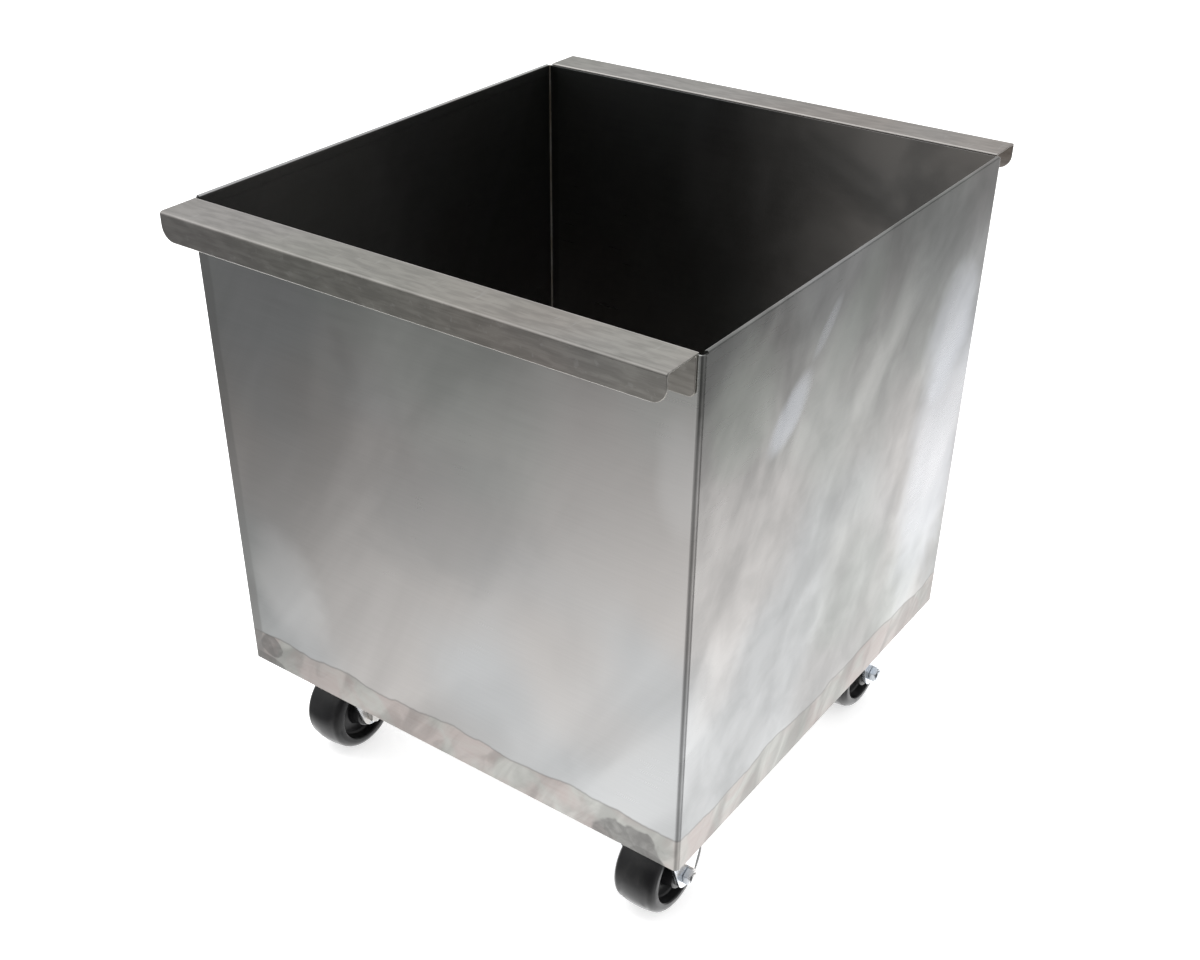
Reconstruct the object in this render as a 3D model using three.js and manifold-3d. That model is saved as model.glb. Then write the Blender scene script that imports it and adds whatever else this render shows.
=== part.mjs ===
// Open-top stainless sheet tote on four rigid casters.
// Millimetres, +Z up. X runs along the front wall, Y from front to rear.
// The origin is the middle of the footprint, on the ground under the wheels.
import * as THREE from 'three';
import { mergeVertices } from 'three/addons/utils/BufferGeometryUtils.js';
import Module from 'manifold-3d';

// ---- tote body -------------------------------------------------------------
const BODY_WIDTH = 558.8;        // across the front wall, outside
const BODY_DEPTH = 550;          // front wall to rear wall, outside
const WALL_HEIGHT = 534;         // underside of the floor to the rim
const SHEET = 2;                 // stainless sheet of the walls, floor and lips
const CORNER_RADIUS = 5;         // outside radius of the upright bends
const HEM_HEIGHT = 12;           // folded safe edge along the two side rims
const PAN_FLANGE = 12;           // upstand of the floor pan inside the walls

// ---- carrying lips ---------------------------------------------------------
const LIP_WIDTH = 41.4;          // overhang of a lip past its wall
const LIP_DROP = 27.7;           // height of the turned-down outer flange
const LIP_LEG = 37.3;            // height of the leg against the wall
const LIP_END_INSET = 5;         // lip end to the side wall's outer face
const LIP_CORNER = 14;           // rounded lower corners of the outer flange
const LEG_CORNER = 6;            // rounded lower corners of the leg
const LIP_BEND = 3.2;            // outside radius of the lip's long bends

// ---- casters ---------------------------------------------------------------
const WHEEL_TO_PLATE = 25.2;     // top of the wheel to the underside of the plate
const PLATE_TO_WALL_X = 8.25;    // plate's edge to the side wall's outer face
const PLATE_TO_WALL_Y = 21.2;    // plate's edge to the front or rear wall's
const PLATE_LENGTH = 101.6;      // top plate along Y
const PLATE_THICKNESS = 4.5;
const PLATE_CORNER = 8;
const BOLT_TO_EDGE_X = 11.15;    // mounting bolt's axis to the plate's edges
const BOLT_TO_EDGE_Y = 17.45;
const NUT_TO_LEG = 3.75;         // mounting nut's corner to the fork leg
const LEG_THICKNESS = 4;         // fork legs beside the wheel
const LEG_TIP_RADIUS = 14.5;     // rounded lower end, round the axle
const LEG_TAPER = 0.36;          // widening of each leg edge per unit of height
const WHEEL_RADIUS = 51;
const WHEEL_WIDTH = 49;
const WHEEL_CROWN = 1.8;         // fall of the tread from its middle to its edge
const TREAD_FLAT = 12;           // level band in the middle of the tread
const SHOULDER = 8;              // radius between tread and side face
const RIM_RADIUS = 36.5;         // recess in each side face of the wheel
const WEB_THICKNESS = 26;        // wheel between its two recesses
const HUB_RADIUS = 18;
const HUB_TAPER = 2;             // hub and rim walls lean this much into the web
const HUB_PROUD = 4;             // hub end past the wheel's side face
const HUB_STANDOFF = 1.5;        // hub end to the fork leg
const SLEEVE_RADIUS = 11;        // axle sleeve, outside
const AXLE_RADIUS = 5.5;         // axle bolt's shank

// ---- fasteners -------------------------------------------------------------
const AXLE_HEX = 16;             // axle bolt's head and nut, across flats
const AXLE_HEAD = 7;
const AXLE_NUT = 7.5;
const AXLE_END = 1.5;            // axle bolt past its nut
const MOUNT_BOLT_RADIUS = 4.75;
const MOUNT_HEX = 14.3;
const MOUNT_HEAD = 6.2;
const MOUNT_NUT = 8.3;
const THREAD_END = 3;            // mounting bolt past its nut
const HOLE_CLEARANCE = 0.6;      // bolt to the hole that it passes through

// ---- fits and facets -------------------------------------------------------
const GAP = 0.3;                 // between faces that rest on each other
const RUNNING_GAP = 0.35;        // wheel bore to the sleeve that it turns on
const CUT_MARGIN = 5;            // how far a cutting shape passes a surface
const WHEEL_SEGMENTS = 32;
const SMALL_SEGMENTS = 12;
const CORNER_SEGMENTS = 4;

const CASTER_HEIGHT = 2 * WHEEL_RADIUS + WHEEL_TO_PLATE + PLATE_THICKNESS;
const RIM_Z = CASTER_HEIGHT + WALL_HEIGHT;
const WALL_TOP_Z = RIM_Z - SHEET - GAP;
const PLATE_TOP_Z = CASTER_HEIGHT - GAP;
const AXLE_Z = WHEEL_RADIUS * Math.cos(Math.PI / WHEEL_SEGMENTS);
const HUB_LENGTH = WHEEL_WIDTH + 2 * HUB_PROUD;
const LEG_INNER_X = HUB_LENGTH / 2 + HUB_STANDOFF;
const LEG_OUTER_X = LEG_INNER_X + LEG_THICKNESS;
const BOLT_X = LEG_OUTER_X + NUT_TO_LEG + MOUNT_HEX / Math.sqrt(3);
const BOLT_Y = PLATE_LENGTH / 2 - BOLT_TO_EDGE_Y;
const PLATE_WIDTH = 2 * (BOLT_X + BOLT_TO_EDGE_X);
const CASTER_X = BODY_WIDTH / 2 - PLATE_TO_WALL_X - PLATE_WIDTH / 2;
const CASTER_Y = BODY_DEPTH / 2 - PLATE_TO_WALL_Y - PLATE_LENGTH / 2;
const LIP_LENGTH = BODY_WIDTH - 2 * LIP_END_INSET;

const wasm = await Module();
wasm.setup();

// ---- materials -------------------------------------------------------------
const material = (color, roughness, metalness) =>
  new THREE.MeshStandardMaterial({ color, roughness, metalness });
const stainless = () => material(0xb9b8b2, 0.38, 1.0);
const zinc = () => material(0xd3d6d8, 0.28, 1.0);
const phenolic = () => material(0x161617, 0.45, 0.0);

// ---- helpers ---------------------------------------------------------------
function toSolid(geometry) {
  const bare = geometry.index ? geometry.toNonIndexed() : geometry.clone();
  bare.deleteAttribute('normal');
  bare.deleteAttribute('uv');
  const merged = mergeVertices(bare, 1e-4);
  return new wasm.Manifold(new wasm.Mesh({
    numProp: 3,
    vertProperties: new Float32Array(merged.attributes.position.array),
    triVerts: new Uint32Array(merged.index.array),
  }));
}

function toGeometry(solid) {
  const mesh = solid.getMesh();
  const geometry = new THREE.BufferGeometry();
  geometry.setAttribute('position', new THREE.BufferAttribute(mesh.vertProperties, 3));
  geometry.setIndex(new THREE.BufferAttribute(mesh.triVerts, 1));
  geometry.computeVertexNormals();
  return geometry;
}

function named(name, geometry, finish) {
  const mesh = new THREE.Mesh(geometry, finish);
  mesh.name = name;
  return mesh;
}

function box(low, high) {
  const size = high.map((value, i) => value - low[i]);
  const geometry = new THREE.BoxGeometry(...size);
  geometry.translate(...low.map((value, i) => value + size[i] / 2));
  return geometry;
}

// A closed outline of a rectangle with rounded corners, about the origin.
function roundedRectangle(width, length, radius, target = new THREE.Shape()) {
  const x = width / 2 - radius;
  const y = length / 2 - radius;
  target.moveTo(x + radius, -y);
  target.lineTo(x + radius, y);
  target.absarc(x, y, radius, 0, Math.PI / 2);
  target.absarc(-x, y, radius, Math.PI / 2, Math.PI);
  target.absarc(-x, -y, radius, Math.PI, 1.5 * Math.PI);
  target.absarc(x, -y, radius, 1.5 * Math.PI, 2 * Math.PI);
  return target;
}

function circle(x, y, radius, target) {
  target.absarc(x, y, radius, 0, 2 * Math.PI);
  return target;
}

function extrude(shape, depth, curveSegments = CORNER_SEGMENTS) {
  return new THREE.ExtrudeGeometry(shape, { depth, bevelEnabled: false, curveSegments });
}

function extrudeUp(shape, bottom, top, curveSegments) {
  const geometry = extrude(shape, top - bottom, curveSegments);
  geometry.translate(0, 0, bottom);
  return geometry;
}

// Turns a shape drawn in (y, z) and extruded along its own Z into one that
// runs along X between the two given places.
function extrudeAcross(shape, from, to, curveSegments) {
  const geometry = extrude(shape, to - from, curveSegments);
  geometry.rotateY(Math.PI / 2);
  geometry.rotateX(Math.PI / 2);
  geometry.translate(from, 0, 0);
  return geometry;
}

function hexagon(acrossFlats, target = new THREE.Shape()) {
  const corner = acrossFlats / Math.sqrt(3);
  for (let i = 0; i < 6; i += 1) {
    const angle = (i * Math.PI) / 3;
    const point = [corner * Math.cos(angle), corner * Math.sin(angle)];
    if (i === 0) target.moveTo(...point);
    else target.lineTo(...point);
  }
  target.closePath();
  return target;
}

function hexNut(acrossFlats, height, boreRadius) {
  const shape = hexagon(acrossFlats);
  shape.holes.push(circle(0, 0, boreRadius, new THREE.Path()));
  return extrude(shape, height, SMALL_SEGMENTS / 2);
}

// Head below, shank along +Z from the head's seat at z = 0.
function hexBolt(acrossFlats, headHeight, shankRadius, length) {
  const head = extrude(hexagon(acrossFlats), headHeight);
  head.translate(0, 0, -headHeight);
  const overlap = headHeight / 2;
  const shank = new THREE.CylinderGeometry(
    shankRadius, shankRadius, length + overlap, SMALL_SEGMENTS);
  shank.rotateX(Math.PI / 2);
  shank.translate(0, 0, (length - overlap) / 2);
  return toGeometry(toSolid(head).add(toSolid(shank)));
}

// ---- tote body -------------------------------------------------------------
// Front, right and rear walls from one sheet with two upright bends.
function bodyWrap() {
  const x = BODY_WIDTH / 2;
  const y = BODY_DEPTH / 2;
  const r = CORNER_RADIUS;
  const inner = r - SHEET;
  const plan = new THREE.Shape();
  plan.moveTo(-x, -y);
  plan.lineTo(x - r, -y);
  plan.absarc(x - r, -y + r, r, -Math.PI / 2, 0);
  plan.lineTo(x, y - r);
  plan.absarc(x - r, y - r, r, 0, Math.PI / 2);
  plan.lineTo(-x, y);
  plan.lineTo(-x, y - SHEET);
  plan.lineTo(x - r, y - SHEET);
  plan.absarc(x - r, y - r, inner, Math.PI / 2, 0, true);
  plan.lineTo(x - SHEET, -y + r);
  plan.absarc(x - r, -y + r, inner, 0, -Math.PI / 2, true);
  plan.lineTo(-x, -y + SHEET);
  plan.closePath();
  const walls = toSolid(extrudeUp(plan, CASTER_HEIGHT, WALL_TOP_Z));
  const hem = toSolid(hemFold(x - 2 * SHEET, x));
  return toGeometry(walls.add(hem));
}

// The folded edge of a side rim, from one X to the other.
function hemFold(low, high) {
  const reach = BODY_DEPTH / 2 - CORNER_RADIUS - SHEET;
  return box([low, -reach, RIM_Z - HEM_HEIGHT], [high, reach, RIM_Z]);
}

function leftSidePanel() {
  const x = BODY_WIDTH / 2;
  const y = BODY_DEPTH / 2 - SHEET - GAP;
  const panel = toSolid(box([-x, -y, CASTER_HEIGHT], [-x + SHEET, y, WALL_TOP_Z]));
  return toGeometry(panel.add(toSolid(hemFold(-x, -x + 2 * SHEET))));
}

// A shallow tray that closes the walls from below, with the bolt holes.
function floorPan() {
  const width = BODY_WIDTH - 2 * (SHEET + GAP);
  const length = BODY_DEPTH - 2 * (SHEET + GAP);
  const radius = CORNER_RADIUS - SHEET;
  const tray = toSolid(extrudeUp(
    roundedRectangle(width, length, radius), CASTER_HEIGHT, CASTER_HEIGHT + PAN_FLANGE));
  const hollow = toSolid(extrudeUp(
    roundedRectangle(width - 2 * SHEET, length - 2 * SHEET, radius / 2),
    CASTER_HEIGHT + SHEET, CASTER_HEIGHT + PAN_FLANGE + CUT_MARGIN));
  let pan = tray.subtract(hollow);
  for (const place of casterPlaces()) {
    for (const [x, y] of boltPlaces()) {
      const drill = new THREE.CylinderGeometry(
        MOUNT_BOLT_RADIUS + HOLE_CLEARANCE, MOUNT_BOLT_RADIUS + HOLE_CLEARANCE,
        SHEET + 2 * CUT_MARGIN, SMALL_SEGMENTS);
      drill.rotateX(Math.PI / 2);
      drill.translate(place.x + x, place.y + y, CASTER_HEIGHT + SHEET / 2);
      pan = pan.subtract(toSolid(drill));
    }
  }
  return toGeometry(pan);
}

// ---- carrying lips ---------------------------------------------------------
// Section of the front lip in (y, z): it caps the wall's upper edge, reaches
// out, turns down, and has a leg that lies against the wall's outer face.
function lipSection() {
  const wall = -BODY_DEPTH / 2;
  const outer = wall - LIP_WIDTH;
  const leg = wall - GAP;
  const inside = LIP_BEND - SHEET;
  const shape = new THREE.Shape();
  shape.moveTo(leg, RIM_Z - SHEET);
  shape.lineTo(wall + SHEET, RIM_Z - SHEET);
  shape.lineTo(wall + SHEET, RIM_Z - SHEET / 2);
  shape.lineTo(wall + SHEET / 2, RIM_Z);
  shape.lineTo(outer + LIP_BEND, RIM_Z);
  shape.absarc(outer + LIP_BEND, RIM_Z - LIP_BEND, LIP_BEND, Math.PI / 2, Math.PI);
  shape.lineTo(outer, RIM_Z - LIP_DROP);
  shape.lineTo(outer + SHEET, RIM_Z - LIP_DROP);
  shape.lineTo(outer + SHEET, RIM_Z - LIP_BEND);
  shape.absarc(outer + LIP_BEND, RIM_Z - LIP_BEND, inside, Math.PI, Math.PI / 2, true);
  shape.lineTo(leg - SHEET, RIM_Z - SHEET);
  shape.lineTo(leg - SHEET, RIM_Z - LIP_LEG);
  shape.lineTo(leg, RIM_Z - LIP_LEG);
  shape.closePath();
  return shape;
}

// What is cut from a flange to round its two lower corners, drawn in (x, z)
// and extruded along Y from low to high.
function cornerCutter(side, radius, bottom, low, high) {
  const end = (side * LIP_LENGTH) / 2;
  const centre = end - side * radius;
  const start = side > 0 ? 0 : Math.PI;
  const shape = new THREE.Shape();
  shape.moveTo(end + side * CUT_MARGIN, bottom + radius);
  shape.lineTo(end, bottom + radius);
  shape.absarc(centre, bottom + radius, radius, start, 1.5 * Math.PI, side > 0);
  shape.lineTo(centre, bottom - CUT_MARGIN);
  shape.lineTo(end + side * CUT_MARGIN, bottom - CUT_MARGIN);
  shape.closePath();
  const geometry = extrude(shape, high - low);
  geometry.rotateX(Math.PI / 2);
  geometry.translate(0, high, 0);
  return toSolid(geometry);
}

function frontLip() {
  const wall = -BODY_DEPTH / 2;
  const outer = wall - LIP_WIDTH;
  const middle = (wall + outer) / 2;
  let lip = toSolid(extrudeAcross(lipSection(), -LIP_LENGTH / 2, LIP_LENGTH / 2));
  for (const side of [-1, 1]) {
    const dropCut = cornerCutter(
      side, LIP_CORNER, RIM_Z - LIP_DROP, outer - CUT_MARGIN, middle);
    const legCut = cornerCutter(
      side, LEG_CORNER, RIM_Z - LIP_LEG, middle, wall - GAP / 2);
    lip = lip.subtract(dropCut).subtract(legCut);
  }
  return toGeometry(lip);
}

// ---- casters ---------------------------------------------------------------
function casterPlaces() {
  return [
    { label: 'front_left', x: -CASTER_X, y: -CASTER_Y },
    { label: 'front_right', x: CASTER_X, y: -CASTER_Y },
    { label: 'rear_left', x: -CASTER_X, y: CASTER_Y },
    { label: 'rear_right', x: CASTER_X, y: CASTER_Y },
  ];
}

function boltPlaces() {
  return [[-BOLT_X, -BOLT_Y], [BOLT_X, -BOLT_Y], [-BOLT_X, BOLT_Y], [BOLT_X, BOLT_Y]];
}

// One leg of the fork in (y, z): a rounded tip round the axle, and edges that
// widen evenly up to the plate.
function forkLegShape() {
  const top = PLATE_TOP_Z - PLATE_THICKNESS / 2;
  const lean = Math.atan(LEG_TAPER);
  const edgeY = LEG_TIP_RADIUS * Math.cos(lean);
  const edgeZ = AXLE_Z - LEG_TIP_RADIUS * Math.sin(lean);
  const reach = Math.min(edgeY + (top - edgeZ) * LEG_TAPER, PLATE_LENGTH / 2);
  const shape = new THREE.Shape();
  shape.moveTo(-reach, top);
  shape.lineTo(-edgeY, edgeZ);
  shape.absarc(0, AXLE_Z, LEG_TIP_RADIUS, Math.PI + lean, 2 * Math.PI - lean);
  shape.lineTo(reach, top);
  shape.closePath();
  shape.holes.push(circle(0, AXLE_Z, AXLE_RADIUS + GAP, new THREE.Path()));
  return shape;
}

function casterFrame() {
  const plate = roundedRectangle(PLATE_WIDTH, PLATE_LENGTH, PLATE_CORNER);
  for (const [x, y] of boltPlaces()) {
    plate.holes.push(circle(x, y, MOUNT_BOLT_RADIUS + HOLE_CLEARANCE, new THREE.Path()));
  }
  const flat = extrudeUp(plate, PLATE_TOP_Z - PLATE_THICKNESS, PLATE_TOP_Z, SMALL_SEGMENTS / 2);
  let frame = toSolid(flat);
  for (const side of [-1, 1]) {
    const from = side > 0 ? LEG_INNER_X : -LEG_OUTER_X;
    const leg = extrudeAcross(forkLegShape(), from, from + LEG_THICKNESS, SMALL_SEGMENTS / 2);
    frame = frame.add(toSolid(leg));
  }
  return toGeometry(frame);
}

// Closed profile of the wheel as (radius, place along the axle), turned round.
function wheel() {
  const half = WHEEL_WIDTH / 2;
  const web = WEB_THICKNESS / 2;
  const edge = WHEEL_RADIUS - WHEEL_CROWN;
  const bore = SLEEVE_RADIUS + RUNNING_GAP;
  const halfProfile = [
    [bore, HUB_LENGTH / 2],
    [HUB_RADIUS, HUB_LENGTH / 2],
    [HUB_RADIUS + HUB_TAPER, web],
    [RIM_RADIUS - HUB_TAPER, web],
    [RIM_RADIUS, half],
  ];
  const shoulderSteps = 2;
  for (let i = 0; i <= shoulderSteps; i += 1) {
    const angle = (i / shoulderSteps) * (Math.PI / 2);
    halfProfile.push([
      edge - SHOULDER + SHOULDER * Math.sin(angle),
      half - SHOULDER + SHOULDER * Math.cos(angle),
    ]);
  }
  halfProfile.push([WHEEL_RADIUS, TREAD_FLAT / 2]);
  const mirrored = halfProfile.map(([radius, along]) => [radius, -along]).reverse();
  const points = [...halfProfile, ...mirrored, halfProfile[0]]
    .map(([radius, along]) => new THREE.Vector2(radius, along));
  const geometry = new THREE.LatheGeometry(points.reverse(), WHEEL_SEGMENTS);
  geometry.rotateY(Math.PI / WHEEL_SEGMENTS);
  geometry.rotateZ(-Math.PI / 2);
  geometry.translate(0, 0, AXLE_Z);
  return toGeometry(toSolid(geometry));
}

// A ring or bolt made along +Z, laid along X with its z = 0 at the given x.
function laidAcross(geometry, x, side = 1) {
  geometry.rotateY((side * Math.PI) / 2);
  geometry.translate(x, 0, AXLE_Z);
  return geometry;
}

function axleSleeve() {
  const half = LEG_INNER_X - GAP;
  const ring = circle(0, 0, SLEEVE_RADIUS, new THREE.Shape());
  ring.holes.push(circle(0, 0, AXLE_RADIUS + GAP, new THREE.Path()));
  return laidAcross(extrude(ring, 2 * half, SMALL_SEGMENTS), -half);
}

// The head sits on the leg nearer to the tote's middle.
function axleBolt(side) {
  const length = 2 * LEG_OUTER_X + 2 * GAP + AXLE_NUT + AXLE_END;
  const bolt = hexBolt(AXLE_HEX, AXLE_HEAD, AXLE_RADIUS, length);
  return laidAcross(bolt, -side * (LEG_OUTER_X + GAP), side);
}

function axleNut(side) {
  const nut = hexNut(AXLE_HEX, AXLE_NUT, AXLE_RADIUS + GAP);
  return laidAcross(nut, side * (LEG_OUTER_X + GAP), side);
}

function mountBolt() {
  const seat = CASTER_HEIGHT + SHEET + GAP;
  const length = seat - PLATE_TOP_Z + PLATE_THICKNESS + GAP + MOUNT_NUT + THREAD_END;
  const bolt = hexBolt(MOUNT_HEX, MOUNT_HEAD, MOUNT_BOLT_RADIUS, length);
  bolt.rotateX(Math.PI);
  bolt.translate(0, 0, seat);
  return bolt;
}

function mountNut() {
  const nut = hexNut(MOUNT_HEX, MOUNT_NUT, MOUNT_BOLT_RADIUS + GAP);
  nut.translate(0, 0, PLATE_TOP_Z - PLATE_THICKNESS - GAP - MOUNT_NUT);
  return nut;
}

function caster({ label, x, y }) {
  const side = Math.sign(x);
  const group = new THREE.Group();
  group.position.set(x, y, 0);
  group.add(
    named(`caster_frame_${label}`, casterFrame(), zinc()),
    named(`axle_bolt_${label}`, axleBolt(side), zinc()),
    named(`axle_nut_${label}`, axleNut(side), zinc()),
    named(`axle_sleeve_${label}`, axleSleeve(), zinc()),
    named(`wheel_${label}`, wheel(), phenolic()),
  );
  boltPlaces().forEach(([boltX, boltY], i) => {
    const fastener = new THREE.Group();
    fastener.position.set(boltX, boltY, 0);
    fastener.add(
      named(`mount_bolt_${label}_${i + 1}`, mountBolt(), zinc()),
      named(`mount_nut_${label}_${i + 1}`, mountNut(), zinc()),
    );
    group.add(fastener);
  });
  return group;
}

// ---- assembly --------------------------------------------------------------
const tote = new THREE.Group();
tote.add(
  named('body_wrap', bodyWrap(), stainless()),
  named('left_side_panel', leftSidePanel(), stainless()),
  named('floor_pan', floorPan(), stainless()),
  named('front_lip', frontLip(), stainless()),
);
const rearLip = named('rear_lip', frontLip(), stainless());
rearLip.rotation.z = Math.PI;
tote.add(rearLip);
for (const place of casterPlaces()) tote.add(caster(place));

export default tote;
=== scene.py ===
"""Looks of the stainless tote: sheet walls, carrying lips and four rigid casters.

Everything is in metres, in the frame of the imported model: X runs along the
front wall, Y from front to rear, Z up, with the ground at zero.
"""
import math

import bmesh
import bpy
from mathutils import Matrix, Vector


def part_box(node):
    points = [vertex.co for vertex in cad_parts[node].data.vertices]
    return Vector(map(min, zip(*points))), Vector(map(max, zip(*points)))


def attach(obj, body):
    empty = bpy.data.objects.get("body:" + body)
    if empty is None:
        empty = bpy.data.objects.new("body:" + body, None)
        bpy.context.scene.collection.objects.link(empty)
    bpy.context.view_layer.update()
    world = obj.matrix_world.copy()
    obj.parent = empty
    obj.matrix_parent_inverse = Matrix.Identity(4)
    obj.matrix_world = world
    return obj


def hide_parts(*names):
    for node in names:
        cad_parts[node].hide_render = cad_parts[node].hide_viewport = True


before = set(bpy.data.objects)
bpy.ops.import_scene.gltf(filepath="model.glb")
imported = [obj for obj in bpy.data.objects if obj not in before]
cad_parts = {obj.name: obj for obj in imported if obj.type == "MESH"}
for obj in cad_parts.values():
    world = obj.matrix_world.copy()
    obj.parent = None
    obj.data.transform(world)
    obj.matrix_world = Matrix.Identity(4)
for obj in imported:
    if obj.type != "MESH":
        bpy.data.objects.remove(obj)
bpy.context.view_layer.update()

MM = 0.001
LABELS = ("front_left", "front_right", "rear_left", "rear_right")

# ---- sizes that the frame gives ---------------------------------------------
wrap_low, wrap_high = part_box("body_wrap")
panel_low, panel_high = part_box("left_side_panel")
_, pan_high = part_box("floor_pan")
lip_low, lip_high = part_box("front_lip")
wheel_low, wheel_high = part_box("wheel_front_right")
fork_low, fork_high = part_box("caster_frame_front_right")
sleeve_low, sleeve_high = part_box("axle_sleeve_front_right")
bolt_low, bolt_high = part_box("mount_bolt_front_right_1")
nut_low, nut_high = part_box("mount_nut_front_right_1")
axle_nut_low, axle_nut_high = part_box("axle_nut_front_right")
axle_bolt_low, axle_bolt_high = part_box("axle_bolt_front_right")

SHEET = (panel_high.x - panel_low.x) / 2      # a hem is two sheets thick
WALL_X = wrap_high.x
WALL_Y = wrap_high.y
FLOOR_Z = wrap_low.z
RIM_Z = wrap_high.z
LIP_OUTER_Y = lip_low.y
LIP_HALF = lip_high.x
LIP_LEG_Z = lip_low.z
PAN_X = pan_high.x
PAN_Y = pan_high.y
PAN_TOP_Z = pan_high.z
WHEEL_RADIUS = (wheel_high.z - wheel_low.z) / 2
AXLE_Z = (wheel_high.z + wheel_low.z) / 2
HUB_HALF = (wheel_high.x - wheel_low.x) / 2
CASTER_X = (wheel_high.x + wheel_low.x) / 2
CASTER_Y = -(wheel_high.y + wheel_low.y) / 2
PLATE_X = (fork_high.x - fork_low.x) / 2
PLATE_Y = (fork_high.y - fork_low.y) / 2
PLATE_TOP_Z = fork_high.z
LEG_TIP_RADIUS = AXLE_Z - fork_low.z
SLEEVE_HALF = (sleeve_high.x - sleeve_low.x) / 2
SLEEVE_RADIUS = (sleeve_high.z - sleeve_low.z) / 2
BOLT_X = CASTER_X - (nut_high.x + nut_low.x) / 2
BOLT_Y = -CASTER_Y - (nut_high.y + nut_low.y) / 2

# ---- sizes of the finer shapes ----------------------------------------------
GAP = 0.3 * MM                # between faces that rest on each other
EDGE = 0.3 * MM               # dulled edge of cut sheet
CORNER_RADIUS = 5 * MM        # outside radius of the upright bends
HEM_HEIGHT = 12 * MM
HEM_ROUND = 1.7 * MM          # each side of a hem's folded top
LIP_DROP = 27.7 * MM
LIP_BEND = 3.2 * MM
LIP_INNER_ROUND = 1.3 * MM
LIP_CORNER = 14 * MM
LEG_CORNER = 6 * MM
PAN_BEND = 3 * MM
BEAD_RADIUS = 1.5 * MM        # weld bead in the inner corners
BEAD_PITCH = 1.7 * MM
PLATE_THICKNESS = 4.5 * MM
PLATE_CORNER = 8 * MM
LEG_THICKNESS = 4 * MM
LEG_TAPER = 0.36
LEG_ROUND = 1.1 * MM
LEG_FILLET = 3 * MM
WHEEL_WIDTH = 49 * MM
WHEEL_CROWN = 1.8 * MM
SHOULDER = 8 * MM
RIM_RADIUS = 36.5 * MM
RIM_LEAN = 2 * MM
WEB_HALF = 13 * MM
HUB_RADIUS = 18 * MM
MOULD_ROUND = 1.6 * MM
RUNNING_GAP = 0.35 * MM
AXLE_RADIUS = 5.5 * MM
AXLE_HEX = 16 * MM
AXLE_HEAD = 7 * MM
MOUNT_RADIUS = 4.75 * MM
MOUNT_HEX = 14.3 * MM
MOUNT_HEAD = 6.2 * MM
HOLE_CLEARANCE = 0.6 * MM
THREAD_PITCH = 1.5 * MM
THREAD_DEPTH = 0.55 * MM
HUB_ROUND = 0.8 * MM
PAST = 5 * MM                 # how far a cutter reaches past a lip
BORE_PAST = 1 * MM            # how far it reaches past a nut
HEX_TOP = 0.97                # turned top of a hexagon, as a share of its flat
HEX_CHAMFER = math.radians(30)
BEAD_SIZES = (0.9, 1.1)       # smallest and largest scale of a bead, as a share
BEAD_DOME = (                 # a scale's rings: place along the pitch, share of the radius
    (-0.9, 0.35), (-0.35, 0.92), (0.1, 1.0), (0.5, 0.9), (0.9, 0.3),
)

# ---- how finely shapes are divided ------------------------------------------
WHEEL_SEGMENTS = 96
SLEEVE_SEGMENTS = 64
HEX_SEGMENTS = 48
BORE_SEGMENTS = 32
SHANK_SEGMENTS = 24
BEAD_SEGMENTS = 10
SHARP_TURN = math.radians(35)     # faces that meet more sharply make an edge
FLAT_TURN = math.radians(0.05)    # faces that meet more flatly become one

WALL_TOP_Z = RIM_Z - SHEET - GAP
LEG_INNER_X = SLEEVE_HALF + GAP
LEG_OUTER_X = LEG_INNER_X + LEG_THICKNESS

# ---- places of the marks, patches and painted highlights on the sheet -------
BAND_HEIGHT = 39 * MM         # ground band above the bottom edge
BAND_WAVE = 34 * MM
BAND_EDGE = 0.8 * MM
STRIP_WIDTH = 15 * MM         # ground weld along the left upright corners
STRIP_WAVE = 9 * MM
HEAT_PATCHES = (              # front wall: x, height above its edge, half sizes, darkness
    (WALL_X - 56 * MM, 3 * MM, 46 * MM, 27 * MM, 0.85),
    (WALL_X - 34 * MM, 0 * MM, 22 * MM, 9 * MM, 0.6),
    (-WALL_X + 25 * MM, 26 * MM, 17 * MM, 15 * MM, 0.7),
    (-WALL_X + 12 * MM, 2 * MM, 30 * MM, 9 * MM, 0.75),
)
RIGHT_PAINTED_HIGHLIGHTS = (               # painted highlights on the right wall: y, z, half sizes, lean in degrees, brightening
    (-126 * MM, 553 * MM, 20 * MM, 44 * MM, 50, 0.5),
    (-72 * MM, 612 * MM, 9 * MM, 34 * MM, 44, 0.25),
    (205 * MM, 505 * MM, 55 * MM, 74 * MM, 20, 0.4),
    (212 * MM, 350 * MM, 78 * MM, 190 * MM, 8, 0.45),
)
RIGHT_DARK_PATCHES = (              # darker greenish patches high on the right wall: y, z, half sizes, lean in degrees, darkening
    (-208 * MM, 590 * MM, 62 * MM, 60 * MM, 35, 0.4),
    (-20 * MM, 600 * MM, 40 * MM, 80 * MM, 45, 0.25),
)
FRONT_PALE_PATCHES = (               # paler patches on the front wall: x, z, half sizes, lean in degrees, brightening
    (-212 * MM, 250 * MM, 54 * MM, 78 * MM, -12, 0.4),
    (264 * MM, 555 * MM, 26 * MM, 60 * MM, 0, 0.35),
)
FRONT_DARK_PATCHES = (              # darker patches on the front wall: x, z, half sizes, lean in degrees, darkening
    (16 * MM, 420 * MM, 78 * MM, 120 * MM, 62, 0.34),
    (-150 * MM, 500 * MM, 40 * MM, 110 * MM, 55, 0.14),
)


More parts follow.
